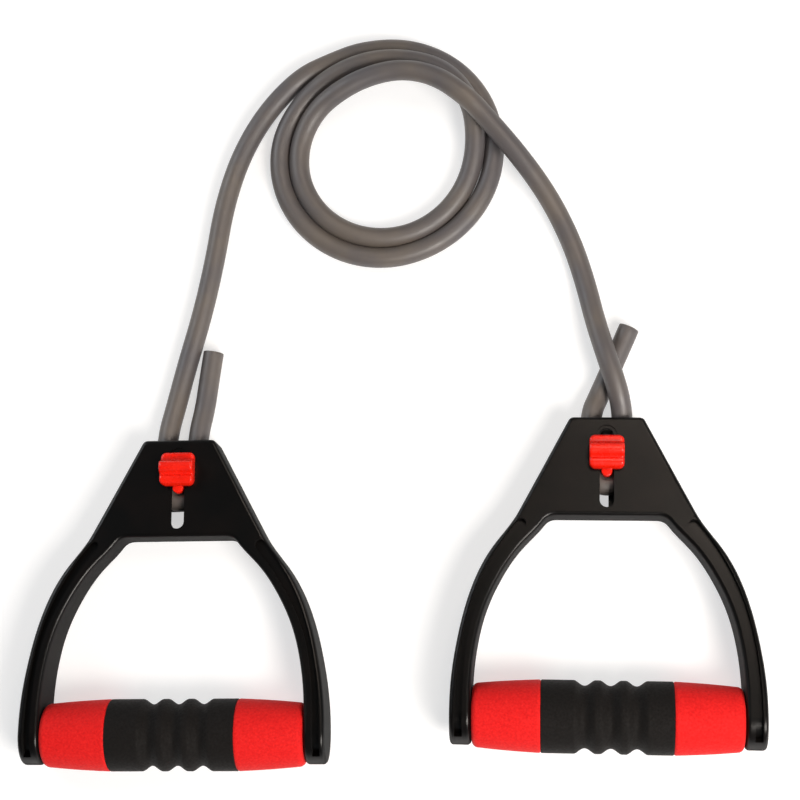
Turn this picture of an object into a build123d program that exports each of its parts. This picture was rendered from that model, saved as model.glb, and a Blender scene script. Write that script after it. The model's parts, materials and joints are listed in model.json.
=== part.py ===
"""Adjustable resistance band: two D-shaped handles with foam grips, joined by
one long rubber tube.  Each end of the tube turns round a sliding post inside
its handle and comes out again as a short free tail.

Units are millimetres, +Z is up.  The band lies on the ground at Z = 0, seen
from above with the grips towards -Y and the looped tube towards +Y.
"""
from build123d import *
from math import asin, atan, cos, degrees, hypot, pi, radians, sin, tan
import os

os.makedirs("parts", exist_ok=True)

# ---------------------------------------------------------------- dimensions
TUBE_D = 9.5                   # outside diameter of the rubber tube
TUBE_R = TUBE_D / 2
TUBE_BORE_R = 2.25

# Handle frame, in the handle's own plane: U across, V from the grip towards
# the tube, W square to the plane.
HANDLE_LENGTH = 133.1          # grip axis to the end of the housing
HOUSING_HALF_T = 8.5           # half the thickness of the housing
HOUSING_TOP_U = 16.4
HOUSING_CORNER_R = 2.8
CROSSBAR_V = 88.2              # edge of the finger opening
ARM_END_R = 13.1               # round end of each arm, about the grip axis
ARM_END_V = -14.0              # the outline runs past the round end
ARM_INNER_U = 59.5             # half the clear width between the arms
ARM_OUTER_U = 68.8
TAPER_V = 90.0                 # here the arms have thinned to the housing
TAPER_BLEND = 20.0             # half the length of the smooth change there
EDGE_FILLET = 1.7
GROOVE_DEPTH = 3.0             # channel along each arm, front and back
GROOVE_WRAP = 52               # degrees that it follows the arm's round end
PAST = 2.0                     # how far cuts run past the surface they cut

SLOT_W = 6.4                   # slot that the slider runs in
SLOT_LOW_V = 92.0
SLOT_HIGH_V = 128.0
BACK_SLOT_LOW_V = 101.2        # the slot in the back wall ends sooner
WINDOW_AT = (-3.1, 97.4)       # opening in the back wall, running into its slot
WINDOW_W = 8.2
WINDOW_L = 9.6
WINDOW_CORNER_R = 1.0
TRACK_W = 9.2                  # shallow track round the front slot
TRACK_DEPTH = 0.7
CAVITY_HALF_H = 5.1            # room for the tube inside the housing
CAVITY_HALF_W = 12.3
CAVITY_LOW_V = 91.0
MOUTH_CHAMFER = 1.2
CAVITY_CORNER_R = 3.0

# Slider: a thumb button in front, a post that the tube turns round, and a
# plate behind, held by one screw.
SLIDER_TRAVEL = 6.0            # towards the grip, from the locked rest
LEFT_SLIDER_V = 119.2          # middle of each button at rest
RIGHT_SLIDER_V = 116.8
LEG_U = 7.2                    # the tube's two legs, either side of the post
BEND_DROP = 6.3                # from the button's middle to the U-turn's centre
LEG_END_V = 126.7              # where the U-turn piece ends
TAIL_START_V = 127.0           # where the tube outside it begins
EXIT_V = 136.0                 # up to here that tube runs straight
BUTTON_W = 15.6
BUTTON_L = 15.5
BUTTON_GAP = 0.25              # between the button and the housing
BUTTON_CORNER_R = 2.6
BUTTON_BLOCK_H = 10.0          # taller than the button, before it is cut to shape
POST_W = 4.8
POST_RISE = 3.9                # from the button's middle to the post's far end
NECK_W = 4.9
NECK_GAP = 0.2                 # between the neck and the cavity's top
NECK_DROP = 10.8               # from the button's middle to the neck's near end
PLATE_W = 10.4
PLATE_L = 14.0
PLATE_T = 1.5
PLATE_DROP = 3.6               # from the button's middle to the plate's
PLATE_POCKET_DEPTH = 1.7
POCKET_SPACE = 0.5
PLATE_GAP = 0.1
PLATE_CORNER_R = 1.5
SCREW_R = 1.5
SCREW_LENGTH = 11.0
SCREW_TIP = 0.6                # bevel at the screw's tip
SCREW_SPACE = 0.5              # left beyond it in the post
SCREW_HEAD_R = 2.6
DRIVE_L = 2.8
DRIVE_W = 0.7
DRIVE_DEPTH = 0.8

# Grip
GRIP_R = 16.0
GRIP_END_R = 13.9
GRIP_HALF_L = 59.2
GRIP_MID_HALF_L = 29.0         # half the black ribbed part
GRIP_ROUND = 2.6
RIB_PITCH = 11.4
RIB_DEPTH = 2.4
RIB_GROOVE_W = 8.4             # of one groove, lip to lip
RIB_SHIFT = 1.6                # the grooves sit off the grip's middle
GRIP_TUBE_R = 10.0
GRIP_TUBE_BORE_R = 8.0
GRIP_TUBE_HALF_L = 58.2
SPIGOT_R = 5.0
SPIGOT_LENGTH = 10.0
SPIGOT_CLEARANCE = 0.05
BUSH_LENGTH = 12.0
BUSH_FLANGE_T = 1.0
BUSH_FLANGE_R = 10.0

# Where the two handles lie.  Each rests on its grip and on the back edge of
# its housing, so it leans by LEAN degrees.
LEAN = 3.23
LEFT_AT, LEFT_YAW = (-96.4, -62.6), 0.4
RIGHT_AT, RIGHT_YAW = (96.0, -54.4), -0.95

# The ring of tube: two and a bit turns, lying on and beside each other.
RING_AT = (-3.0, 208.2)
RING_OUTER_R = 56.4
RING_HOLE_AT = (-1.0, 205.0)
RING_HOLE_R = 33.2
RING_LOW_H = 10.6              # height where two turns lie side by side
RING_HIGH_H = 23.0             # height across from there, where it is 3 deep
RING_HIGH_SIDE = 60            # that side's direction, in degrees from +X
RING_FILLET = 3.5

# Routes of the tube's loose stretches, each from its handle outwards.
LEFT_ROUTE = [
    (-101.2, 88.5, 5.6),
    (-96.6, 108.0, 4.8),
    (-89.6, 133.0, 4.8),
    (-84.2, 159.0, 4.8),
    (-80.4, 184.0, 4.8),
    (-72.9, 208.5, 4.8),
    (-60.8, 230.0, 4.8),
    (-44.5, 247.0, 4.8),
    (-30.0, 253.6, 4.8),
]
RIGHT_ROUTE = [
    (103.6, 91.4, 13.6),
    (99.6, 104.0, 15.6),
    (94.2, 123.0, 9.8),
    (89.4, 145.0, 4.8),
    (83.2, 164.5, 4.8),
    (73.0, 185.0, 8.4),
    (59.4, 203.4, 14.6),
    (43.6, 221.8, 18.4),
]
LEFT_TAIL_ROUTE = [
    (-87.6, 87.0, 5.6),
    (-86.2, 99.6, 4.8),
    (-84.2, 113.6, 4.8),
]
RIGHT_TAIL_ROUTE = [
    (95.2, 90.6, 4.8),
    (102.4, 106.4, 4.8),
    (109.4, 122.0, 4.8),
]


# ------------------------------------------------------------------- helpers
def handle_plane(at, yaw):
    """The handle's own plane: X is U, Y is V and Z is W."""
    across = Vector(cos(radians(yaw)), sin(radians(yaw)), 0)
    along = Vector(
        -sin(radians(yaw)) * cos(radians(LEAN)),
        cos(radians(yaw)) * cos(radians(LEAN)),
        -sin(radians(LEAN)),
    )
    return Plane(origin=(at[0], at[1], GRIP_R), x_dir=across, z_dir=across.cross(along))


def side_plane(hand):
    """Through the handle's middle: X is V and Y is W."""
    return Plane(origin=hand.origin, x_dir=hand.y_dir, z_dir=hand.x_dir)


def profile_plane(hand):
    """Along the grip's axis: X is U and Y is W, for turned pieces."""
    return Plane(origin=hand.origin, x_dir=hand.x_dir, z_dir=-hand.y_dir)


def place(hand, u, v, w=0.0):
    """A point of the handle, in the model's own axes."""
    return hand.from_local_coords(Vector(u, v, w))


def finish(part, label):
    """Name a piece and write its file."""
    part.label = label
    export_step(part, f"parts/{label}.step")


def arc_radii(points):
    """As large an arc at each corner as its two runs allow."""
    radii = []
    for before, corner, after in zip(points, points[1:], points[2:]):
        run_in, run_out = corner - before, after - corner
        shorter = min(run_in.length, run_out.length)
        radii.append(0.45 * shorter / tan(radians(run_in.get_angle(run_out)) / 2))
    return radii


# --------------------------------------------------------------------- frame
ARM_OUTER = [(39.2, 90.0), (50.6, 74.0), (60.6, 53.5), (66.3, 30.0), (ARM_OUTER_U, 2.0)]
ARM_OUTER_START = (0.468, -0.884)  # along the housing's straight side
ARM_INNER = [
    (22.0, CROSSBAR_V), (28.8, 84.5), (37.5, 75.2), (46.8, 61.8),
    (53.2, 48.1), (57.6, 31.0), (ARM_INNER_U, 8.0),
]
GROOVE_OUTER = [(40.1, 85.4), (48.9, 73.2), (58.8, 52.8), (64.5, 29.6), (66.6, 0.0)]
GROOVE_INNER = [(36.4, 82.4), (43.7, 72.9), (52.3, 58.8), (58.4, 44.4), (61.6, 29.8), (63.2, 0.0)]
GROOVE_TOP = (36.8, 85.7)


def half_frame_outline():
    """Half of the D, closed along the handle's centre line."""
    with BuildLine() as outline:
        Line((0, HANDLE_LENGTH), (HOUSING_TOP_U, HANDLE_LENGTH))
        Line((HOUSING_TOP_U, HANDLE_LENGTH), ARM_OUTER[0])
        Spline(*ARM_OUTER, tangents=[ARM_OUTER_START, (0, -1)])
        Line(ARM_OUTER[-1], (ARM_OUTER_U, ARM_END_V))
        Line((ARM_OUTER_U, ARM_END_V), (ARM_INNER_U, ARM_END_V))
        Line((ARM_INNER_U, ARM_END_V), ARM_INNER[-1])
        Spline(*reversed(ARM_INNER), tangents=[(0, 1), (-1, 0)])
        Line(ARM_INNER[0], (0, CROSSBAR_V))
        Line((0, CROSSBAR_V), (0, HANDLE_LENGTH))
    return outline.line


def groove_outline():
    """The channel along one arm's flat, with a round end at the housing."""
    with BuildLine() as outline:
        Spline(*GROOVE_OUTER)
        Line(GROOVE_OUTER[-1], GROOVE_INNER[-1])
        Spline(*reversed(GROOVE_INNER))
        ThreePointArc(GROOVE_INNER[0], GROOVE_TOP, GROOVE_OUTER[0])
    return outline.line


def side_outline():
    """Side view above the middle: round arm end, taper, flat housing."""
    taper = asin(ARM_END_R / hypot(TAPER_V, HOUSING_HALF_T)) - atan(HOUSING_HALF_T / TAPER_V)
    touch = (ARM_END_R * sin(taper), ARM_END_R * cos(taper))
    blend_start = (TAPER_V - TAPER_BLEND * cos(taper), HOUSING_HALF_T + TAPER_BLEND * sin(taper))
    blend_end = (TAPER_V + TAPER_BLEND, HOUSING_HALF_T)
    with BuildLine() as outline:
        arc = CenterArc((0, 0), ARM_END_R, 90 - degrees(taper), 90 + degrees(taper))
        Line(touch, blend_start)
        TangentArc(blend_start, blend_end, tangent=(cos(taper), -sin(taper)))
        Line(blend_end, (HANDLE_LENGTH + 1, HOUSING_HALF_T))
        Line((HANDLE_LENGTH + 1, HOUSING_HALF_T), (HANDLE_LENGTH + 1, 0))
        Line((HANDLE_LENGTH + 1, 0), arc @ 1)
    return outline.line, degrees(taper)


def make_frame(hand, label):
    side, taper = side_outline()
    mid_slot_v = (SLOT_LOW_V + SLOT_HIGH_V) / 2
    slot_l = SLOT_HIGH_V - SLOT_LOW_V
    # one pocket that suits the slider of either handle
    pocket_low_v = RIGHT_SLIDER_V - PLATE_DROP - PLATE_L / 2 - SLIDER_TRAVEL - POCKET_SPACE
    pocket_high_v = LEFT_SLIDER_V - PLATE_DROP + PLATE_L / 2 + POCKET_SPACE
    groove_u = (GROOVE_OUTER[-1][0] + GROOVE_INNER[-1][0]) / 2
    groove_w = GROOVE_OUTER[-1][0] - GROOVE_INNER[-1][0]
    with BuildPart() as frame:
        with BuildSketch(hand.offset(-ARM_END_R)) as plan:
            add(half_frame_outline())
            make_face()
            mirror(about=Plane.YZ)
            fillet([corner for corner in plan.vertices() if is_top_corner(corner)], HOUSING_CORNER_R)
        extrude(amount=2 * ARM_END_R)
        with BuildSketch(side_plane(hand)):
            add(side)
            make_face()
            mirror(about=Plane.XZ)
        extrude(amount=ARM_OUTER_U + 1, both=True, mode=Mode.INTERSECT)
        fillet([edge for edge in frame.edges() if is_rim(hand, edge)], EDGE_FILLET)
        # the channels along both arms, front and back
        for face in (1, -1):
            with BuildSketch(arm_face(hand, taper, face).offset(-GROOVE_DEPTH)):
                add(groove_outline())
                make_face()
                mirror(about=Plane.YZ)
            extrude(amount=GROOVE_DEPTH + PAST, mode=Mode.SUBTRACT)
            with BuildSketch(arm_end_plane(hand, taper, face)):
                for end in (1, -1):
                    with Locations((end * groove_u, ARM_END_R - GROOVE_DEPTH)):
                        Rectangle(groove_w, GROOVE_DEPTH + PAST, align=(Align.CENTER, Align.MIN))
            revolve(
                axis=Axis(hand.origin, hand.x_dir * face), revolution_arc=GROOVE_WRAP,
                mode=Mode.SUBTRACT,
            )
        # the cavity that holds the tube, open at the top of the housing
        with BuildSketch(end_plane(hand)):
            RectangleRounded(2 * CAVITY_HALF_W, 2 * CAVITY_HALF_H, CAVITY_CORNER_R)
        extrude(amount=-(HANDLE_LENGTH - CAVITY_LOW_V - CAVITY_HALF_W), mode=Mode.SUBTRACT)
        mouth = [edge for edge in frame.edges() if is_mouth(hand, edge)]
        with BuildSketch(hand):
            with Locations((0, CAVITY_LOW_V + CAVITY_HALF_W)):
                Circle(CAVITY_HALF_W)
        extrude(amount=CAVITY_HALF_H, both=True, mode=Mode.SUBTRACT)
        chamfer(mouth, MOUTH_CHAMFER)
        # the slots through both faces, with a track in front
        with BuildSketch(hand):
            with Locations((0, mid_slot_v)):
                SlotOverall(slot_l, SLOT_W, rotation=90)
        extrude(amount=HOUSING_HALF_T + PAST, mode=Mode.SUBTRACT)
        with BuildSketch(hand):
            with Locations((0, (BACK_SLOT_LOW_V + SLOT_HIGH_V) / 2)):
                SlotOverall(SLOT_HIGH_V - BACK_SLOT_LOW_V, SLOT_W, rotation=90)
        extrude(amount=-(HOUSING_HALF_T + PAST), mode=Mode.SUBTRACT)
        with BuildSketch(hand.offset(HOUSING_HALF_T)):
            with Locations((0, mid_slot_v)):
                SlotOverall(slot_l + TRACK_W - SLOT_W, TRACK_W, rotation=90)
        extrude(amount=-TRACK_DEPTH, mode=Mode.SUBTRACT)
        # the window and the plate's pocket behind
        with BuildSketch(hand):
            with Locations(WINDOW_AT):
                RectangleRounded(WINDOW_W, WINDOW_L, WINDOW_CORNER_R)
        extrude(amount=-(HOUSING_HALF_T + PAST), mode=Mode.SUBTRACT)
        with BuildSketch(hand.offset(-HOUSING_HALF_T)):
            with Locations((0, (pocket_low_v + pocket_high_v) / 2)):
                RectangleRounded(
                    PLATE_W + 2 * POCKET_SPACE, pocket_high_v - pocket_low_v, PLATE_CORNER_R,
                )
        extrude(amount=PLATE_POCKET_DEPTH, mode=Mode.SUBTRACT)
        # the stub axles that carry the grip
        for end in (1, -1):
            with BuildSketch(across_plane(hand, end * ARM_INNER_U)):
                Circle(SPIGOT_R)
            extrude(amount=-end * SPIGOT_LENGTH)
    finish(frame.part, label)


def is_top_corner(corner):
    """The outline's two corners at the housing's end."""
    return corner.Y > HANDLE_LENGTH - 0.1 and abs(corner.X) > HOUSING_TOP_U - 0.1


def is_rim(hand, edge):
    """Edges all round the front and the back, but not those across them."""
    middle = hand.to_local_coords(edge.center())
    if abs(middle.Z) < HOUSING_HALF_T - 0.1 and middle.Y > 0:
        return False
    if edge.geom_type == GeomType.LINE and abs((edge % 0.5).dot(hand.x_dir)) > 0.99:
        return middle.Y > HANDLE_LENGTH - 1 or abs(middle.Y - CROSSBAR_V) < 0.5
    return True


def is_mouth(hand, edge):
    """Edges round the opening in the top of the housing."""
    middle = hand.to_local_coords(edge.center())
    inside = abs(middle.X) < CAVITY_HALF_W + 0.1 and abs(middle.Z) < CAVITY_HALF_H + 0.1
    return inside and middle.Y > HANDLE_LENGTH - 0.1


def arm_face(hand, taper, face):
    """On the arms' sloping front (1) or back (-1), X across and Y along V."""
    tilt = radians(taper)
    normal = hand.y_dir * sin(tilt) + hand.z_dir * (face * cos(tilt))
    return Plane(origin=hand.origin + normal * ARM_END_R, x_dir=hand.x_dir * face, z_dir=normal)


def arm_end_plane(hand, taper, face):
    """Through the grip's axis and where that face meets the round end."""
    tilt = radians(taper)
    normal = hand.y_dir * sin(tilt) + hand.z_dir * (face * cos(tilt))
    return Plane(origin=hand.origin, x_dir=hand.x_dir, z_dir=hand.x_dir.cross(normal))


def end_plane(hand):
    """On the end of the housing, facing out of its mouth."""
    return Plane(origin=place(hand, 0, HANDLE_LENGTH), x_dir=-hand.x_dir, z_dir=hand.y_dir)


def across_plane(hand, u):
    """Square to the grip's axis at U."""
    return Plane(origin=place(hand, u, 0), x_dir=hand.y_dir, z_dir=hand.x_dir)


# -------------------------------------------------------------------- slider
POST_DROP = BEND_DROP + LEG_U - TUBE_R
POST_L = POST_DROP + POST_RISE
NECK_RISE = POST_RISE + (NECK_W - POST_W) / 2
NECK_L = NECK_DROP + NECK_RISE
PLATE_TOP_W = PLATE_POCKET_DEPTH - PLATE_GAP - HOUSING_HALF_T
PLATE_BACK_W = PLATE_TOP_W - PLATE_T
BUTTON_LOW_W = HOUSING_HALF_T + BUTTON_GAP
NECK_LOW_W = CAVITY_HALF_H + NECK_GAP

# The button's side view: V from its middle, height above its underside.
BUTTON_LOW_STEP = [(-BUTTON_L / 2, 2.8), (-7.0, 4.0), (-5.0, 4.8), (-3.1, 4.3)]
BUTTON_RIDGE = [(-2.8, 4.5), (-1.6, 6.3), (0.4, 7.0), (2.4, 6.5), (3.4, 5.2), (3.8, 3.4)]
BUTTON_HIGH_STEP = [(4.2, 2.2), (5.6, 2.2), (7.0, 2.0), (BUTTON_L / 2, 1.3)]


def make_button(hand, slider_v, label):
    with BuildPart() as button:
        with BuildSketch(hand.offset(PLATE_TOP_W)):
            with Locations((0, slider_v + (POST_RISE - POST_DROP) / 2)):
                SlotOverall(POST_L, POST_W, rotation=90)
        extrude(amount=BUTTON_LOW_W - PLATE_TOP_W)
        with BuildSketch(hand.offset(NECK_LOW_W)):
            with Locations((0, slider_v + (NECK_RISE - NECK_DROP) / 2)):
                SlotOverall(NECK_L, NECK_W, rotation=90)
        extrude(amount=BUTTON_LOW_W - NECK_LOW_W)
        with Locations(screw_plane(hand, slider_v)):
            Hole(SCREW_R, depth=SCREW_LENGTH + SCREW_SPACE)
    low_step, ridge, high_step = (
        [(slider_v + v, BUTTON_LOW_W + height) for v, height in stretch]
        for stretch in (BUTTON_LOW_STEP, BUTTON_RIDGE, BUTTON_HIGH_STEP)
    )
    ends = (slider_v - BUTTON_L / 2, BUTTON_LOW_W), (slider_v + BUTTON_L / 2, BUTTON_LOW_W)
    with BuildPart() as cap:
        with BuildSketch(side_plane(hand)):
            with BuildLine():
                Polyline(ends[1], ends[0], low_step[0])
                Spline(*low_step)
                Line(low_step[-1], ridge[0])
                Spline(*ridge)
                Line(ridge[-1], high_step[0])
                Spline(*high_step)
                Line(high_step[-1], ends[1])
            make_face()
        extrude(amount=BUTTON_W / 2, both=True)
        with BuildSketch(hand.offset(BUTTON_LOW_W)):
            with Locations((0, slider_v)):
                RectangleRounded(BUTTON_W, BUTTON_L, BUTTON_CORNER_R)
        extrude(amount=BUTTON_BLOCK_H, mode=Mode.INTERSECT)
    with BuildPart() as whole:
        add(button.part)
        add(cap.part)
    finish(whole.part, label)


def screw_plane(hand, slider_v):
    """On the back of the plate, facing out."""
    centre = place(hand, 0, slider_v - PLATE_DROP, PLATE_BACK_W)
    return Plane(origin=centre, x_dir=hand.x_dir, z_dir=-hand.z_dir)


def make_plate(hand, slider_v, label):
    with BuildPart() as plate:
        with BuildSketch(hand.offset(PLATE_BACK_W)):
            with Locations((0, slider_v - PLATE_DROP)):
                RectangleRounded(PLATE_W, PLATE_L, PLATE_CORNER_R)
        extrude(amount=PLATE_T)
        with Locations(screw_plane(hand, slider_v)):
            CounterSinkHole(SCREW_R, SCREW_HEAD_R, depth=PLATE_T, counter_sink_angle=90)
    finish(plate.part, label)


def make_screw(hand, slider_v, label):
    outward = screw_plane(hand, slider_v)
    head_t = SCREW_HEAD_R - SCREW_R
    with BuildPart() as screw:
        with BuildSketch(Plane(origin=outward.origin, x_dir=hand.x_dir, z_dir=-hand.y_dir)):
            with BuildLine():
                Polyline(
                    (0, 0), (SCREW_HEAD_R, 0), (SCREW_R, head_t), (SCREW_R, SCREW_LENGTH - 1),
                    (SCREW_R - SCREW_TIP, SCREW_LENGTH), (0, SCREW_LENGTH), close=True,
                )
            make_face()
        revolve(axis=Axis(outward.origin, hand.z_dir))
        with BuildSketch(outward):
            Rectangle(DRIVE_L, DRIVE_W)
            Rectangle(DRIVE_W, DRIVE_L)
        extrude(amount=-DRIVE_DEPTH, mode=Mode.SUBTRACT)
    finish(screw.part, label)


# ---------------------------------------------------------------------- grip
def make_end_foam(hand, end, label):
    """Red foam: it tapers to a rounded outer end."""
    with BuildPart() as foam:
        with BuildSketch(profile_plane(hand)):
            with BuildLine():
                Polyline(
                    (end * GRIP_MID_HALF_L, GRIP_TUBE_R), (end * GRIP_MID_HALF_L, GRIP_R),
                    (end * GRIP_HALF_L, GRIP_END_R), (end * GRIP_HALF_L, GRIP_TUBE_R), close=True,
                )
            make_face()
        revolve(axis=Axis(hand.origin, hand.x_dir))
        outer_rim = foam.edges().filter_by(GeomType.CIRCLE).sort_by(lambda edge: edge.radius)
        fillet([edge for edge in outer_rim if abs(edge.radius - GRIP_END_R) < 0.01], GRIP_ROUND)
    finish(foam.part, label)


def make_mid_foam(hand, label):
    """Black foam with three grooves and two ridges near its middle."""
    low = GRIP_R - RIB_DEPTH
    with BuildPart() as foam:
        with BuildSketch(profile_plane(hand)):
            with BuildLine():
                start = (-GRIP_MID_HALF_L, GRIP_R)
                Line((-GRIP_MID_HALF_L, GRIP_TUBE_R), start)
                for groove in (RIB_SHIFT - RIB_PITCH, RIB_SHIFT, RIB_SHIFT + RIB_PITCH):
                    lip = (groove - RIB_GROOVE_W / 2, GRIP_R)
                    far_lip = (groove + RIB_GROOVE_W / 2, GRIP_R)
                    Line(start, lip)
                    Spline(lip, (groove, low), far_lip, tangents=[(1, 0), (1, 0)])
                    start = far_lip
                Line(start, (GRIP_MID_HALF_L, GRIP_R))
                Line((GRIP_MID_HALF_L, GRIP_R), (GRIP_MID_HALF_L, GRIP_TUBE_R))
                Line((GRIP_MID_HALF_L, GRIP_TUBE_R), (-GRIP_MID_HALF_L, GRIP_TUBE_R))
            make_face()
        revolve(axis=Axis(hand.origin, hand.x_dir))
    finish(foam.part, label)


def make_grip_tube(hand, label):
    with BuildPart() as core:
        with BuildSketch(across_plane(hand, -GRIP_TUBE_HALF_L)):
            Circle(GRIP_TUBE_R)
            Circle(GRIP_TUBE_BORE_R, mode=Mode.SUBTRACT)
        extrude(amount=2 * GRIP_TUBE_HALF_L)
    finish(core.part, label)


def make_bushes(hand, label):
    """The two plugs in the grip tube's ends, which run on the stub axles."""
    bore = SPIGOT_R + SPIGOT_CLEARANCE
    inside, face = GRIP_TUBE_HALF_L, GRIP_TUBE_HALF_L + BUSH_FLANGE_T
    deep = inside - BUSH_LENGTH
    with BuildPart() as bushes:
        for end in (-1, 1):
            with BuildSketch(profile_plane(hand)):
                with BuildLine():
                    Polyline(
                        (end * deep, bore), (end * face, bore), (end * face, BUSH_FLANGE_R),
                        (end * inside, BUSH_FLANGE_R), (end * inside, GRIP_TUBE_BORE_R),
                        (end * deep, GRIP_TUBE_BORE_R), close=True,
                    )
                make_face()
            revolve(axis=Axis(hand.origin, hand.x_dir))
    finish(bushes.part, label)


# ---------------------------------------------------------------------- tube
def make_tube(path, label):
    """Sweep the tube's section along a path of runs and tangent arcs."""
    length = path.length
    with BuildPart() as tube:
        with BuildSketch(Plane(origin=path @ 0, z_dir=path % 0)):
            Circle(TUBE_R)
            Circle(TUBE_BORE_R, mode=Mode.SUBTRACT)
        sweep(path=path)
    expected = pi * (TUBE_R ** 2 - TUBE_BORE_R ** 2) * length
    print(f"{label}: {length:.1f} mm long, volume {tube.part.volume / expected:.4f} of section x length")
    finish(tube.part, label)


def make_bend(hand, slider_v, label):
    """The U-turn round the slider's post, with its two legs."""
    bend_v = slider_v - BEND_DROP
    with BuildLine(hand) as path:
        Line((-LEG_U, LEG_END_V), (-LEG_U, bend_v))
        ThreePointArc((-LEG_U, bend_v), (0, bend_v - LEG_U), (LEG_U, bend_v))
        Line((LEG_U, bend_v), (LEG_U, LEG_END_V))
    make_tube(path.wire(), label)


def make_loose_tube(hand, leg, route, label):
    """A stretch of tube from one leg in the housing along its route."""
    start, leaving = (place(hand, leg * LEG_U, v) for v in (TAIL_START_V, EXIT_V))
    points = [start, leaving, *(Vector(*point) for point in route)]
    radii = arc_radii(points)
    with BuildLine() as path:
        FilletPolyline(*points, radius=radii)
    print(label, "radii", [round(radius, 1) for radius in radii])
    make_tube(path.wire(), label)


def make_ring():
    """Closed outer shape of the looped tube, higher where it is 3 deep."""
    rise = (RING_HIGH_H - RING_LOW_H) / (2 * RING_OUTER_R)
    rise_x, rise_y = rise * cos(radians(RING_HIGH_SIDE)), rise * sin(radians(RING_HIGH_SIDE))
    mid_h = (RING_HIGH_H + RING_LOW_H) / 2
    with BuildPart() as ring:
        with BuildSketch():
            with Locations(RING_AT):
                Circle(RING_OUTER_R)
            with Locations(RING_HOLE_AT):
                Circle(RING_HOLE_R, mode=Mode.SUBTRACT)
        extrude(amount=RING_HIGH_H + 1)
        split(bisect_by=Plane(origin=(*RING_AT, mid_h), z_dir=(-rise_x, -rise_y, 1)), keep=Keep.BOTTOM)
        fillet(ring.edges().filter_by(lambda edge: edge.length > RING_HIGH_H * 2), RING_FILLET)
    finish(ring.part, "tube_ring")


def make_handle(hand, name, slider_v, main_leg, route, tail_route):
    make_frame(hand, f"{name}_frame")
    make_button(hand, slider_v, f"{name}_slider_button")
    make_plate(hand, slider_v, f"{name}_slider_plate")
    make_screw(hand, slider_v, f"{name}_slider_screw")
    make_grip_tube(hand, f"{name}_grip_tube")
    make_bushes(hand, f"{name}_grip_bushes")
    make_end_foam(hand, -1, f"{name}_foam_left")
    make_mid_foam(hand, f"{name}_foam_middle")
    make_end_foam(hand, 1, f"{name}_foam_right")
    make_bend(hand, slider_v, f"{name}_tube_bend")
    make_loose_tube(hand, main_leg, route, f"{name}_tube_run")
    make_loose_tube(hand, -main_leg, tail_route, f"{name}_tube_tail")


left_hand, right_hand = handle_plane(LEFT_AT, LEFT_YAW), handle_plane(RIGHT_AT, RIGHT_YAW)
make_handle(left_hand, "left", LEFT_SLIDER_V, -1, LEFT_ROUTE, LEFT_TAIL_ROUTE)
make_handle(right_hand, "right", RIGHT_SLIDER_V, 1, RIGHT_ROUTE, RIGHT_TAIL_ROUTE)
make_ring()
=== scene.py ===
"""The looks of an adjustable resistance band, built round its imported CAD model.

Metres, +Z up, in the model's own frame.  Each handle has axes of its own, taken
from its joints: across (U) along the grip, along (V) towards the tube, and
up (W) square to both.  Sizes along a handle's own axes are in millimetres.
"""
import json
from math import cos, hypot, pi, radians, sin, sqrt

import bmesh
import bpy
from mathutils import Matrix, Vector, noise


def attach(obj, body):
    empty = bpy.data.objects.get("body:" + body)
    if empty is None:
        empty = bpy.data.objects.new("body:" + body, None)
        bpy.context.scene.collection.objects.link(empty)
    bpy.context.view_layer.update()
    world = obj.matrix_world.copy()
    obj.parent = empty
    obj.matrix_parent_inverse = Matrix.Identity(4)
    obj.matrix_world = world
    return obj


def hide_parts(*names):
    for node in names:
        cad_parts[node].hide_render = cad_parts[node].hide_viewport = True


MM = 0.001

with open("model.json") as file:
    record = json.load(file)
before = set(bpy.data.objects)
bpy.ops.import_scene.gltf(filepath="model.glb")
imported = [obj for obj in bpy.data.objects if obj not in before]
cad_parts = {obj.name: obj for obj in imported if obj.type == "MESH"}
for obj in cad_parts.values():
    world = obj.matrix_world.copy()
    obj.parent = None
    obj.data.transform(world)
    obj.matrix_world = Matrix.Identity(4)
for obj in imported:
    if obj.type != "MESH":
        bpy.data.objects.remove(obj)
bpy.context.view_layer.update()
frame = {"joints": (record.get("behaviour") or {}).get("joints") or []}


# ----------------------------------------------------------------- the handles
class Handle:
    """One handle's own axes."""

    def __init__(self, name):
        self.name = name
        joints = {joint["name"]: joint for joint in frame["joints"]}
        spin = joints[f"{name}_grip_spin"]
        slide = joints[f"{name}_slider_slide"]
        self.origin = Vector(spin["pos_m"])
        self.across = Vector(spin["axis"])
        self.along = -Vector(slide["axis"])
        self.up = self.across.cross(self.along)

    def place(self, u, v, w=0.0):
        """The point at u, v, w, given in millimetres."""
        return self.origin + (self.across * u + self.along * v + self.up * w) * MM


LEFT = Handle("left")
RIGHT = Handle("right")


# ------------------------------------------------------------------- materials
NOISE_LOW = 0.3                # nearly all of a noise pattern lies between these
NOISE_HIGH = 0.7


def tone(red, green, blue):
    """A display colour, 0 to 255, as a shader's linear one."""
    return (*((level / 255) ** 2.2 for level in (red, green, blue)), 1)


def set_stops(ramp, stops):
    """Gives a new colour ramp its (position, colour) stops."""
    keys = ramp.color_ramp.elements
    # a new ramp already has two
    for i, (position, shade) in enumerate(stops):
        key = keys[i] if i < 2 else keys.new(position)
        key.position = position
        key.color = shade


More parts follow.
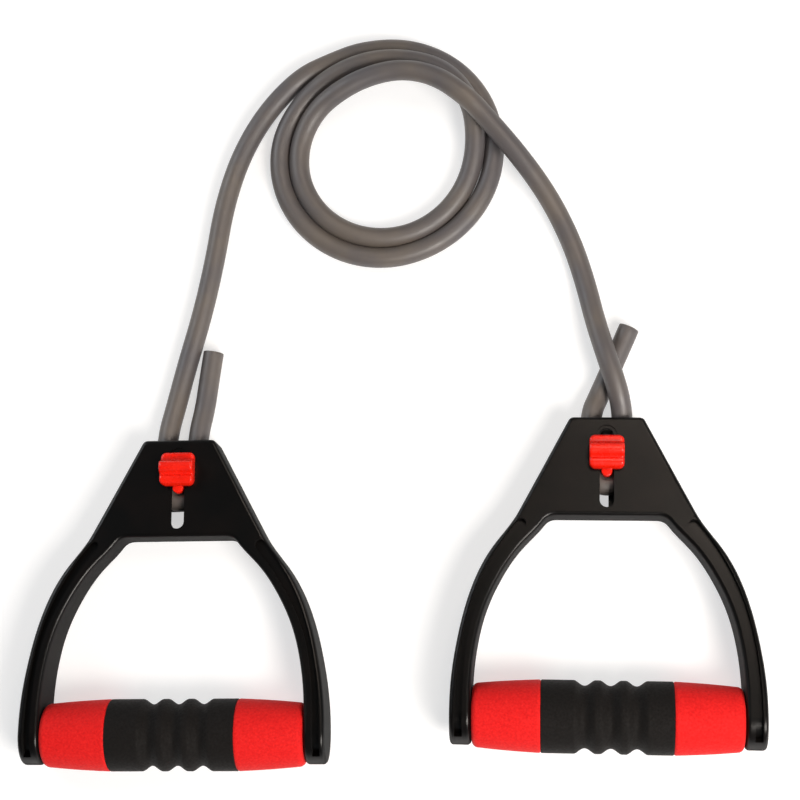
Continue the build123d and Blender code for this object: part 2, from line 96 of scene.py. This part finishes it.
class Finish:
    """A material whose textures are measured in metres."""

    def __init__(self, name, **sockets):
        self.material = bpy.data.materials.new(name)
        self.material.use_nodes = True
        self.tree = self.material.node_tree
        self.shader = self.tree.nodes["Principled BSDF"]
        self.space = self.tree.nodes.new("ShaderNodeTexCoord").outputs["Object"]
        self.normal = None
        for socket, value in sockets.items():
            self.shader.inputs[socket.replace("_", " ")].default_value = value

    def noise(self, scale, detail=3.0):
        """Soft random patches, about 1 / scale metres across."""
        texture = self.tree.nodes.new("ShaderNodeTexNoise")
        texture.inputs["Scale"].default_value = scale
        texture.inputs["Detail"].default_value = detail
        self.tree.links.new(self.space, texture.inputs["Vector"])
        return texture.outputs["Fac"]

    def cells(self, scale):
        """Rounded cells, about 1 / scale metres across, 0 at their middles."""
        texture = self.tree.nodes.new("ShaderNodeTexVoronoi")
        texture.feature = "SMOOTH_F1"
        texture.inputs["Scale"].default_value = scale
        self.tree.links.new(self.space, texture.inputs["Vector"])
        return texture.outputs["Distance"]

    def flatness(self, pattern, share):
        """About 1 where a face looks up or down and 0 on upright walls, plus a share of a pattern."""
        facing = self.tree.nodes.new("ShaderNodeTexCoord").outputs["Normal"]
        split = self.tree.nodes.new("ShaderNodeSeparateXYZ")
        tilt = self.tree.nodes.new("ShaderNodeMath")
        tilt.operation = "ABSOLUTE"
        stir = self.tree.nodes.new("ShaderNodeMath")
        stir.operation = "MULTIPLY_ADD"
        stir.inputs[1].default_value = share
        self.tree.links.new(facing, split.inputs["Vector"])
        self.tree.links.new(split.outputs["Z"], tilt.inputs[0])
        self.tree.links.new(pattern, stir.inputs[0])
        self.tree.links.new(tilt.outputs["Value"], stir.inputs[2])
        return stir.outputs["Value"]

    def colours(self, pattern, *stops):
        """Base colour by pattern, from (position, colour) stops."""
        ramp = self.tree.nodes.new("ShaderNodeValToRGB")
        set_stops(ramp, stops)
        self.tree.links.new(pattern, ramp.inputs["Fac"])
        self.tree.links.new(ramp.outputs["Color"], self.shader.inputs["Base Color"])

    def roughness(self, pattern, low, high):
        """Roughness by pattern, between two values."""
        span = self.tree.nodes.new("ShaderNodeMapRange")
        span.inputs["From Min"].default_value = NOISE_LOW
        span.inputs["From Max"].default_value = NOISE_HIGH
        span.inputs["To Min"].default_value = low
        span.inputs["To Max"].default_value = high
        self.tree.links.new(pattern, span.inputs["Value"])
        self.tree.links.new(span.outputs["Result"], self.shader.inputs["Roughness"])

    def bump(self, pattern, depth, strength, invert=False):
        """Relief by pattern, on top of any relief before it."""
        relief = self.tree.nodes.new("ShaderNodeBump")
        relief.invert = invert
        relief.inputs["Distance"].default_value = depth
        relief.inputs["Strength"].default_value = strength
        self.tree.links.new(pattern, relief.inputs["Height"])
        if self.normal:
            self.tree.links.new(self.normal, relief.inputs["Normal"])
        self.normal = relief.outputs["Normal"]
        self.tree.links.new(self.normal, self.shader.inputs["Normal"])


def make_tube_rubber():
    """Warm grey latex: satin, slightly cloudy, finely dusted."""
    rubber = Finish("tube_rubber", Specular_IOR_Level=0.8)
    rubber.colours(
        rubber.noise(38),
        (0.36, tone(80, 76, 77)),
        (0.52, tone(87, 81, 78)),
        (0.66, tone(96, 88, 81)),
    )
    rubber.roughness(rubber.noise(160), 0.45, 0.55)
    rubber.bump(rubber.noise(2600), 0.00003, 0.4)
    rubber.bump(rubber.noise(180), 0.00012, 0.3)
    return rubber.material


def make_frame_plastic():
    """Black moulded nylon: smooth on its flats, matt on its upright walls."""
    nylon = Finish("frame_plastic", Specular_IOR_Level=0.26)
    nylon.colours(nylon.noise(60), (0.38, tone(8, 7, 6)), (0.66, tone(16, 12, 10)))
    nylon.roughness(nylon.flatness(nylon.noise(140), 0.2), 0.78, 0.3)
    nylon.bump(nylon.noise(1500), 0.00003, 0.4)
    nylon.bump(nylon.noise(70), 0.00015, 0.2)
    return nylon.material


def make_slider_plastic():
    """Glossy red plastic with faint sink marks."""
    red = Finish("slider_plastic", Specular_IOR_Level=0.4)
    red.colours(red.noise(120), (0.36, tone(228, 30, 14)), (0.66, tone(242, 38, 20)))
    red.roughness(red.noise(300), 0.22, 0.32)
    red.bump(red.noise(260), 0.00006, 0.25)
    return red.material


def make_foam(name, dark, mid, light, pebbles):
    """Closed-cell foam: matt, finely mottled, with pebbles of a given strength."""
    foam = Finish(name, Specular_IOR_Level=0.22, Sheen_Weight=0.02, Sheen_Roughness=0.6)
    foam.colours(foam.noise(1000, 5), (0.28, dark), (0.46, mid), (0.72, light))
    foam.roughness(foam.noise(900), 0.68, 0.86)
    foam.bump(foam.noise(2200, 4), 0.00008, 0.5)
    foam.bump(foam.cells(1150), 0.00022, pebbles, invert=True)
    return foam.material


def make_steel():
    """Zinc-plated steel, finely brushed by handling."""
    steel = Finish("screw_steel", Metallic=1.0)
    steel.colours(steel.noise(700), (0.35, tone(150, 150, 152)), (0.65, tone(186, 186, 188)))
    steel.roughness(steel.noise(1800), 0.26, 0.42)
    steel.bump(steel.noise(3000), 0.00002, 0.5)
    return steel.material


def make_dark_plastic(name, shade, smooth, rough):
    """Plain dark plastic for the pieces inside the grip."""
    plastic = Finish(name, Specular_IOR_Level=0.4)
    plastic.colours(plastic.noise(150), (0.35, shade), (0.65, tone(40, 39, 38)))
    plastic.roughness(plastic.noise(260), smooth, rough)
    plastic.bump(plastic.noise(1200), 0.00003, 0.5)
    return plastic.material


tube_rubber = make_tube_rubber()
frame_plastic = make_frame_plastic()
slider_plastic = make_slider_plastic()
red_foam = make_foam("red_foam", tone(198, 20, 20), tone(212, 24, 24), tone(224, 34, 31), 0.5)
black_foam = make_foam("black_foam", tone(12, 9, 6), tone(15, 11, 8), tone(19, 14, 11), 0.25)


# ------------------------------------------------------- shapes made of rings
SHARP_DEGREES = 38             # faces that turn more than this meet in a crisp edge
MIDWAY = 0.3                   # how far in a rounded edge's middle is, of its radius


def turns(count, start=0.0):
    """Angles of evenly spaced points round a circle."""
    return [2 * pi * (j + start) / count for j in range(count)]


def add_rings(shape, rings):
    """A closed shell over a row of rings, each of as many points."""
    rows = [[shape.verts.new(point) for point in ring] for ring in rings]
    shape.faces.new(rows[0])
    for low, high in zip(rows, rows[1:]):
        for j in range(len(low)):
            k = (j + 1) % len(low)
            shape.faces.new((low[j], low[k], high[k], high[j]))
    shape.faces.new(rows[-1])


def finished(name, shape, material):
    """Puts a shape in the scene, facing outwards, smooth but for sharp edges."""
    shape.normal_update()
    bmesh.ops.recalc_face_normals(shape, faces=shape.faces)
    mesh = bpy.data.meshes.new(name)
    shape.to_mesh(mesh)
    shape.free()
    mesh.polygons.foreach_set("use_smooth", [True] * len(mesh.polygons))
    mesh.set_sharp_from_angle(angle=radians(SHARP_DEGREES))
    mesh.materials.append(material)
    piece = bpy.data.objects.new(name, mesh)
    bpy.context.scene.collection.objects.link(piece)
    return piece


def ring_piece(name, rings, material):
    """A piece that is one closed shell over a row of rings."""
    shape = bmesh.new()
    add_rings(shape, rings)
    return finished(name, shape, material)


def rounded(distance, radius):
    """How far an edge of this radius drops, at a distance from its corner."""
    if distance >= radius:
        return 0.0
    return radius - sqrt(radius ** 2 - (radius - distance) ** 2)


# -------------------------------------------------------------------- the tube
TUBE_R = 4.75 * MM
BORE_R = 2.25 * MM
BORE_DEPTH = 14 * MM           # how far the bore is open
BORE_STEPS = 8                 # rings down it
CUT_ROUND = 0.25 * MM          # the softened edge of a cut end
AROUND_TUBE = 36               # points round the tube
LINE_STEPS = 10                # points on the line for each control point

LEG_U = 7.2                    # of the tube's legs in the housing, either side
START_V = 127.0                # where a stretch starts, hidden in the housing
EXIT_V = 136.0                 # a stretch is straight up to here

# Control points of each stretch, in metres, from its handle outwards.
LEFT_ROUTE = [
    (-0.1012, 0.0885, 0.0056),
    (-0.0966, 0.1080, 0.0048),
    (-0.0896, 0.1330, 0.0048),
    (-0.0842, 0.1590, 0.0048),
    (-0.0804, 0.1840, 0.0048),
    (-0.0729, 0.2085, 0.0048),
    (-0.0608, 0.2300, 0.0048),
    (-0.0445, 0.2470, 0.0048),
    (-0.0300, 0.2536, 0.0048),
]
RIGHT_ROUTE = [
    (0.1036, 0.0914, 0.0136),
    (0.0996, 0.1040, 0.0156),
    (0.0942, 0.1230, 0.0098),
    (0.0894, 0.1450, 0.0048),
    (0.0832, 0.1645, 0.0048),
    (0.0730, 0.1850, 0.0084),
    (0.0594, 0.2034, 0.0146),
    (0.0436, 0.2218, 0.0184),
]
LEFT_TAIL_ROUTE = [
    (-0.0876, 0.0870, 0.0056),
    (-0.0862, 0.0996, 0.0048),
    (-0.0842, 0.1136, 0.0048),
]
RIGHT_TAIL_ROUTE = [
    (0.0952, 0.0906, 0.0048),
    (0.1024, 0.1064, 0.0048),
    (0.1094, 0.1220, 0.0048),
]

# The turns of the ring, clockwise from above: degrees turned, radius and
# height of the tube's middle, in millimetres.
COIL_AT = (-3.2, 208.2)
COIL_START = 124.0             # direction at 0 degrees turned
COIL = [
    (22, 51.2, 4.8), (60, 51.9, 4.8), (95, 51.8, 4.8), (140, 50.7, 4.8), (183, 49.6, 4.8),
    (226, 51.1, 4.8), (272, 51.7, 4.8), (306, 50.8, 4.8), (330, 48.0, 5.2), (350, 45.0, 8.3),
    (380, 43.7, 11.2), (406, 44.3, 11.6), (432, 46.6, 12.8), (450, 46.6, 13.2), (470, 43.4, 10.9),
    (490, 41.2, 6.2), (530, 40.5, 5.0), (570, 41.1, 5.4), (614, 42.5, 6.4), (650, 42.0, 6.2),
    (680, 40.0, 7.2), (700, 37.6, 10.6), (719, 34.4, 15.2), (736, 33.6, 16.8), (762, 36.2, 18.4),
    (782, 38.8, 20.0), (804, 41.6, 21.4), (816, 43.8, 21.8),
]
COIL_STEP = 24.0               # degrees from one control point to the next, about


def coil_point(turned, outward):
    """The point of the ring at so many degrees turned, moved outward by a factor."""
    low, high = next(pair for pair in zip(COIL, COIL[1:]) if turned <= pair[1][0])
    share = (turned - low[0]) / (high[0] - low[0])
    radius = (low[1] + share * (high[1] - low[1])) * outward
    height = low[2] + share * (high[2] - low[2])
    angle = radians(COIL_START - turned)
    x = COIL_AT[0] + radius * cos(angle)
    y = COIL_AT[1] + radius * sin(angle)
    return Vector((x, y, height)) * MM


def coil_points():
    """Control points for the tube's turns, evenly spread over the degrees turned."""
    first, last = COIL[0][0], COIL[-1][0]
    steps = round((last - first) / COIL_STEP)
    step = (last - first) / steps
    # the smooth line runs inside its control points
    outward = 1 / cos(radians(step / 2))
    return [coil_point(min(first + i * step, last), outward) for i in range(steps + 1)]


def leaving(handle, leg):
    """The first points of a stretch, straight out of its housing; a leg is -1 or 1."""
    return [handle.place(leg * LEG_U, v) for v in (START_V, EXIT_V)]


def smooth_line(points):
    """Points along the NURBS line with these control points."""
    curve = bpy.data.curves.new("line", "CURVE")
    curve.dimensions = "3D"
    spline = curve.splines.new("NURBS")
    spline.points.add(len(points) - 1)
    for target, point in zip(spline.points, points):
        target.co = (*point, 1)
    spline.order_u = 3
    spline.use_endpoint_u = True
    spline.resolution_u = LINE_STEPS
    holder = bpy.data.objects.new("line", curve)
    mesh = bpy.data.meshes.new_from_object(holder)
    line = [vertex.co.copy() for vertex in mesh.vertices]
    bpy.data.meshes.remove(mesh)
    bpy.data.curves.remove(curve)
    return line


def square_to(ahead, side):
    """The direction nearest to a side that is square to the way ahead."""
    return (side - ahead * side.dot(ahead)).normalized()


def tube_ring(centre, ahead, side, radius):
    """Points round the tube, starting at a side."""
    other = ahead.cross(side)
    return [
        centre + (side * cos(turn) + other * sin(turn)) * radius for turn in turns(AROUND_TUBE)
    ]


def tube_rings(line):
    """The tube's outside: rings square to a line, without twist."""
    rings = []
    side = (line[1] - line[0]).orthogonal().normalized()
    for i, point in enumerate(line):
        ahead = (line[min(i + 1, len(line) - 1)] - line[max(i - 1, 0)]).normalized()
        side = square_to(ahead, side)
        rings.append(tube_ring(point, ahead, side, TUBE_R))
    return rings


def bored_end(line, last_ring):
    """Rings over the cut face at a line's end and down its bore, after the last ring outside."""
    tip, before = line[-1], line[-2]
    ahead = (tip - before).normalized()
    side = square_to(ahead, (last_ring[0] - before).normalized())
    profile = [                # back from the tip, radius
        (CUT_ROUND, TUBE_R),
        (CUT_ROUND * MIDWAY, TUBE_R - CUT_ROUND * MIDWAY),
        (0, TUBE_R - CUT_ROUND),
        (0, (TUBE_R + BORE_R) / 2),
        (0, BORE_R + CUT_ROUND / 2),
        (CUT_ROUND / 2, BORE_R),
    ]
    profile += [(BORE_DEPTH * i / BORE_STEPS, BORE_R) for i in range(1, BORE_STEPS + 1)]
    return [tube_ring(tip - ahead * back, ahead, side, radius) for back, radius in profile]


def make_tail(handle, leg, route):
    """A short free end of tube, cut square, with its bore showing."""
    line = smooth_line([*leaving(handle, leg), *route])
    outside = tube_rings(line[:-1])
    rings = outside + bored_end(line, outside[-1])
    piece = ring_piece(f"{handle.name}_tail", rings, tube_rubber)
    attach(piece, "band")
    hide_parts(f"{handle.name}_tube_tail")


def make_main_tube():
    """The tube from the left housing, round the ring, into the right one."""
    line = smooth_line([
        *leaving(LEFT, -1),
        *LEFT_ROUTE,
        *coil_points(),
        *reversed(RIGHT_ROUTE),
        *reversed(leaving(RIGHT, 1)),
    ])
    piece = ring_piece("tube", tube_rings(line), tube_rubber)
    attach(piece, "band")
    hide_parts("left_tube_run", "tube_ring", "right_tube_run")


make_main_tube()
make_tail(LEFT, 1, LEFT_TAIL_ROUTE)
make_tail(RIGHT, -1, RIGHT_TAIL_ROUTE)


# ------------------------------------------------------------------- the grips
GRIP_R = 16.0
GRIP_END_R = 13.9
GRIP_HALF_L = 59.2
GRIP_MID_HALF_L = 29.0         # half the black part
GRIP_ROUND = 2.6               # the rounded outer ends
GRIP_CROWN = 0.25              # how far the red foams swell between their ends
CORE_R = 10.0
RIB_PITCH = 11.4
RIB_WIDTH = 9.4                # of one groove, lip to lip
RIB_FLATNESS = 0.8             # below 1, the groove's bottom is flatter
RIB_DEPTH = 2.4
RIB_SHIFT = 1.6                # the grooves sit off the grip's middle
SEAM_ROUND = 0.45              # how the two foams round off where they meet
FOAM_STEP = 0.45               # from one ring to the next
AROUND_GRIP = 200              # points round the grip
GRAIN_HEIGHT = 0.035           # the foam's real pebbles, coarse ones
GRAIN_SIZE = 0.9
FINE_GRAIN = 0.5               # the fine ones' share of that height
FINE_GRAIN_SCALE = 2.3         # how many times smaller they are
GRAIN_SHIFT = {"left": 0, "right": 60}     # gives each handle pebbles of its own


def rib_depth(u):
    """How far the grooves cut into the black foam at u."""
    for groove in (-RIB_PITCH, 0, RIB_PITCH):
        off = abs(u - RIB_SHIFT - groove)
        if off < RIB_WIDTH / 2:
            return RIB_DEPTH * ((1 + cos(2 * pi * off / RIB_WIDTH)) / 2) ** RIB_FLATNESS
    return 0.0


def mid_profile():
    """(u, radius) along the black foam."""
    steps = round(2 * GRIP_MID_HALF_L / FOAM_STEP)
    profile = [(-GRIP_MID_HALF_L, CORE_R)]
    for i in range(steps + 1):
        u = -GRIP_MID_HALF_L + 2 * GRIP_MID_HALF_L * i / steps
        seam = rounded(GRIP_MID_HALF_L - abs(u), SEAM_ROUND)
        profile.append((u, GRIP_R - rib_depth(u) - seam))
    profile.append((GRIP_MID_HALF_L, CORE_R))
    return profile


def end_profile(end):
    """(u, radius) along one red foam, from the seam to its rounded end."""
    length = GRIP_HALF_L - GRIP_MID_HALF_L
    steps = round(length / FOAM_STEP)
    profile = [(end * GRIP_MID_HALF_L, CORE_R)]
    for i in range(steps + 1):
        # closer together towards the rounded end
        share = sin(pi / 2 * i / steps)
        along = share * length
        crown = GRIP_CROWN * sin(pi * share)
        radius = GRIP_R + (GRIP_END_R - GRIP_R) * share + crown
        radius -= rounded(length - along, GRIP_ROUND) + rounded(along, SEAM_ROUND)
        profile.append((end * (GRIP_MID_HALF_L + along), radius))
    profile.append((end * GRIP_HALF_L, CORE_R))
    return profile


def pebble(spot):
    """Height of the pebbles at a spot, in units of the coarse ones' height."""
    return noise.noise(spot) + FINE_GRAIN * noise.noise(spot * FINE_GRAIN_SCALE)


def make_foam_piece(handle, part, profile, material):
    """One foam sleeve, turned from its profile, with real pebbles."""
    shift = Vector((0, 0, GRAIN_SHIFT[handle.name]))
    rings = []
    for i, (u, radius) in enumerate(profile):
        # the end faces, at the core, stay plain
        grain = GRAIN_HEIGHT if 0 < i < len(profile) - 1 else 0.0
        ring = []
        for turn in turns(AROUND_GRIP):
            at = Vector((u, radius * cos(turn), radius * sin(turn)))
            lift = grain * pebble(at / GRAIN_SIZE + shift)
            out = (radius + lift) / radius
            ring.append(handle.place(u, at.y * out, at.z * out))
        rings.append(ring)
    piece = ring_piece(f"{handle.name}_{part}_pad", rings, material)
    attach(piece, f"{handle.name}_grip")
    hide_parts(f"{handle.name}_{part}")


for handle in (LEFT, RIGHT):
    make_foam_piece(handle, "foam_left", end_profile(-1), red_foam)
    make_foam_piece(handle, "foam_middle", mid_profile(), black_foam)
    make_foam_piece(handle, "foam_right", end_profile(1), red_foam)


# --------------------------------------------------------- the slider's button
# Widths are along U, lengths and ends along V, and feet are heights along W.
BUTTON_V = {"left": 119.2, "right": 116.8}
BUTTON_WIDTH = 15.6
BUTTON_LENGTH = 15.5
BUTTON_FOOT = 8.75             # the thumb piece's underside
BUTTON_CORNER_R = 2.6
BUTTON_EDGE_R = 1.2
NECK_WIDTH = 4.9
NECK_ENDS = (-10.8, 3.95)      # along V, from the button's middle
NECK_FOOT = 5.3
NECK_ROUND = 0.5               # where it meets the thumb piece
POST_WIDTH = 4.8
POST_ENDS = (-8.75, 3.9)
POST_FOOT = -6.9               # where it stands on the plate behind
FOOT_BEVEL = 0.3
# The button's height above its underside, from its lower end to its upper.
BUTTON_SIDE = [
    (-7.75, 3.2), (-6.6, 4.3), (-4.9, 4.9), (-3.7, 4.8), (-3.0, 4.2), (-2.2, 4.9), (-1.2, 6.3),
    (0.3, 7.0), (1.9, 6.8), (3.0, 5.9), (3.7, 3.6), (4.3, 2.3), (5.2, 2.2), (6.6, 2.2),
    (7.75, 1.9),
]
BUTTON_ROWS = 62
BUTTON_COLUMNS = 48
AROUND_SLOT = 48               # points round the neck and the post


def side_slope(i):
    """Slope of the button's side view at its point i, flat at crests and dips."""
    i = min(max(i, 1), len(BUTTON_SIDE) - 2)
    (v0, h0), (v1, h1), (v2, h2) = BUTTON_SIDE[i - 1:i + 2]
    before = (h1 - h0) / (v1 - v0)
    after = (h2 - h1) / (v2 - v1)
    if before * after <= 0:
        return 0.0
    return 2 * before * after / (before + after)


def side_height(v):
    """Height of the button's top at v from its middle, smoothly joined."""
    for i, ((v0, h0), (v1, h1)) in enumerate(zip(BUTTON_SIDE, BUTTON_SIDE[1:])):
        if v <= v1:
            step = v1 - v0
            share = max(0.0, (v - v0) / step)
            start = side_slope(i) * step
            end = side_slope(i + 1) * step
            bend = (share - 1) * start + share * end - (2 * share - 1) * (h1 - h0)
            return h0 + (h1 - h0) * share + share * (share - 1) * bend
    return BUTTON_SIDE[-1][1]


def from_outline(u, v):
    """Distance of a point inside the button's outline from that outline."""
    over_u = abs(u) - (BUTTON_WIDTH / 2 - BUTTON_CORNER_R)
    over_v = abs(v) - (BUTTON_LENGTH / 2 - BUTTON_CORNER_R)
    corner = hypot(max(over_u, 0), max(over_v, 0))
    return BUTTON_CORNER_R - corner - min(max(over_u, over_v), 0)


def half_width(v):
    """Half the button's width at v from its middle."""
    over = abs(v) - (BUTTON_LENGTH / 2 - BUTTON_CORNER_R)
    if over <= 0:
        return BUTTON_WIDTH / 2
    return BUTTON_WIDTH / 2 - BUTTON_CORNER_R + sqrt(max(BUTTON_CORNER_R ** 2 - over ** 2, 0))


def add_cap(shape, handle, middle_v):
    """The thumb piece: a sheet over its outline, and a wall down to its underside."""
    rows = []
    for i in range(BUTTON_ROWS + 1):
        v = -BUTTON_LENGTH / 2 * cos(pi * i / BUTTON_ROWS)
        row = []
        for j in range(BUTTON_COLUMNS + 1):
            u = half_width(v) * -cos(pi * j / BUTTON_COLUMNS)
            drop = rounded(max(from_outline(u, v), 0), BUTTON_EDGE_R)
            height = BUTTON_FOOT + side_height(v) - drop
            row.append(shape.verts.new(handle.place(u, middle_v + v, height)))
        rows.append(row)
    for low, high in zip(rows, rows[1:]):
        for j in range(BUTTON_COLUMNS):
            shape.faces.new((low[j], low[j + 1], high[j + 1], high[j]))
    rim = rows[0] + [row[-1] for row in rows[1:-1]] + rows[-1][::-1]
    rim += [row[0] for row in rows[-2:0:-1]]
    foot = []
    for vertex in rim:
        off = (vertex.co - handle.origin).dot(handle.up) - BUTTON_FOOT * MM
        foot.append(shape.verts.new(vertex.co - handle.up * off))
    for j in range(len(rim)):
        k = (j + 1) % len(rim)
        shape.faces.new((rim[j], rim[k], foot[k], foot[j]))
    shape.faces.new(foot)


def add_bar(shape, handle, ends, width, levels):
    """A slot-shaped bar between two ends along V, from (height, inset) levels."""
    low_v, high_v = ends
    rings = []
    for w, inset in levels:
        radius = width / 2 - inset
        ring = []
        for turn in turns(AROUND_SLOT, 0.5):
            middle = high_v - width / 2 if sin(turn) > 0 else low_v + width / 2
            ring.append(handle.place(radius * cos(turn), middle + radius * sin(turn), w))
        rings.append(ring)
    add_rings(shape, rings)


def make_button(handle):
    """The slider's red moulding: thumb piece, neck and post."""
    middle_v = BUTTON_V[handle.name]
    shape = bmesh.new()
    add_cap(shape, handle, middle_v)
    add_bar(shape, handle, [middle_v + end for end in POST_ENDS], POST_WIDTH, [
        (POST_FOOT, FOOT_BEVEL),
        (POST_FOOT + FOOT_BEVEL, 0),
        (NECK_FOOT, 0),
    ])
    add_bar(shape, handle, [middle_v + end for end in NECK_ENDS], NECK_WIDTH, [
        (NECK_FOOT, FOOT_BEVEL),
        (NECK_FOOT + FOOT_BEVEL, 0),
        (BUTTON_FOOT - NECK_ROUND, 0),
        (BUTTON_FOOT - NECK_ROUND * MIDWAY, NECK_ROUND * MIDWAY),
        (BUTTON_FOOT, NECK_ROUND),
    ])
    piece = finished(f"{handle.name}_button", shape, slider_plastic)
    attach(piece, f"{handle.name}_slider")
    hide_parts(f"{handle.name}_slider_button")


make_button(LEFT)
make_button(RIGHT)


# --------------------------------------------------- pieces that stay from CAD
def paint(material, kind):
    """Gives both handles' CAD piece of this kind a material."""
    for handle in (LEFT, RIGHT):
        for slot in bpy.data.objects[f"{handle.name}_{kind}"].material_slots:
            slot.material = material


paint(frame_plastic, "frame")
paint(tube_rubber, "tube_bend")
paint(slider_plastic, "slider_plate")
paint(make_steel(), "slider_screw")
paint(make_dark_plastic("core_plastic", tone(52, 50, 49), 0.5, 0.62), "grip_tube")
paint(make_dark_plastic("bush_plastic", tone(24, 23, 23), 0.42, 0.54), "grip_bushes")


# --------------------------------------------------------- camera, light, floor
CAMERA_AT = (0.0800, -0.0433, 0.8224)
CAMERA_TURN = (0.16080907, 0.09307148, 0.00091648)
CAMERA_LENS = 80.91
CAMERA_NEAR = 0.01
FLOOR_HALF = 30.0              # so wide that low views don't meet its edge
FLOOR_GLOW = 0.58


def make_camera():
    """A long lens, almost straight above."""
    lens = bpy.data.cameras.new("camera")
    lens.lens = CAMERA_LENS
    lens.clip_start = CAMERA_NEAR
    camera = bpy.data.objects.new("camera", lens)
    camera.location = CAMERA_AT
    camera.rotation_euler = CAMERA_TURN
    bpy.context.scene.collection.objects.link(camera)
    bpy.context.scene.camera = camera


def make_light(name, at, aim, width, power, colour):
    """A square soft box, in metres and watts, turned towards its aim."""
    light = bpy.data.lights.new(name, "AREA")
    light.size = width
    light.energy = power
    light.color = colour
    lamp = bpy.data.objects.new(name, light)
    lamp.location = at
    lamp.rotation_euler = (Vector(aim) - Vector(at)).to_track_quat("-Z", "Y").to_euler()
    bpy.context.scene.collection.objects.link(lamp)


def make_world():
    """Soft studio surroundings, brightest at the horizon."""
    world = bpy.data.worlds.new("studio")
    world.use_nodes = True
    tree = world.node_tree
    direction = tree.nodes.new("ShaderNodeTexCoord")
    split = tree.nodes.new("ShaderNodeSeparateXYZ")
    ramp = tree.nodes.new("ShaderNodeValToRGB")
    set_stops(ramp, [
        (0.02, (0.6, 0.6, 0.6, 1)),
        (0.2, (0.24, 0.26, 0.28, 1)),
        (0.8, (0.12, 0.125, 0.13, 1)),
    ])
    tree.links.new(direction.outputs["Generated"], split.inputs["Vector"])
    tree.links.new(split.outputs["Z"], ramp.inputs["Fac"])
    tree.links.new(ramp.outputs["Color"], tree.nodes["Background"].inputs["Color"])
    bpy.context.scene.world = world


def make_floor():
    """A plain pale floor that glows a little, like a light table."""
    white = Finish(
        "floor_white", Roughness=0.9, Emission_Color=(1, 1, 1, 1), Emission_Strength=FLOOR_GLOW,
    )
    white.colours(white.noise(3), (0.3, tone(186, 186, 186)), (0.7, tone(190, 190, 190)))
    corners = [(x * FLOOR_HALF, y * FLOOR_HALF, 0) for x, y in ((-1, -1), (1, -1), (1, 1), (-1, 1))]
    mesh = bpy.data.meshes.new("floor")
    mesh.from_pydata(corners, [], [range(4)])
    mesh.materials.append(white.material)
    floor = bpy.data.objects.new("floor", mesh)
    bpy.context.scene.collection.objects.link(floor)


make_camera()
make_light(
    "key", at=(0.6, -0.45, 0.85), aim=(0.05, 0.05, 0), width=0.5, power=15, colour=(1, 0.94, 0.88),
)
make_light(
    "rim", at=(-1.0, 0.7, 0.8), aim=(0, 0.1, 0), width=0.6, power=6, colour=(0.9, 0.95, 1),
)
make_light(
    "top", at=(0.3, 0.5, 1.0), aim=(0.1, 0.1, 0), width=0.35, power=2.5, colour=(1, 0.86, 0.74),
)
make_world()
make_floor()
bpy.context.scene.view_settings.view_transform = "Standard"
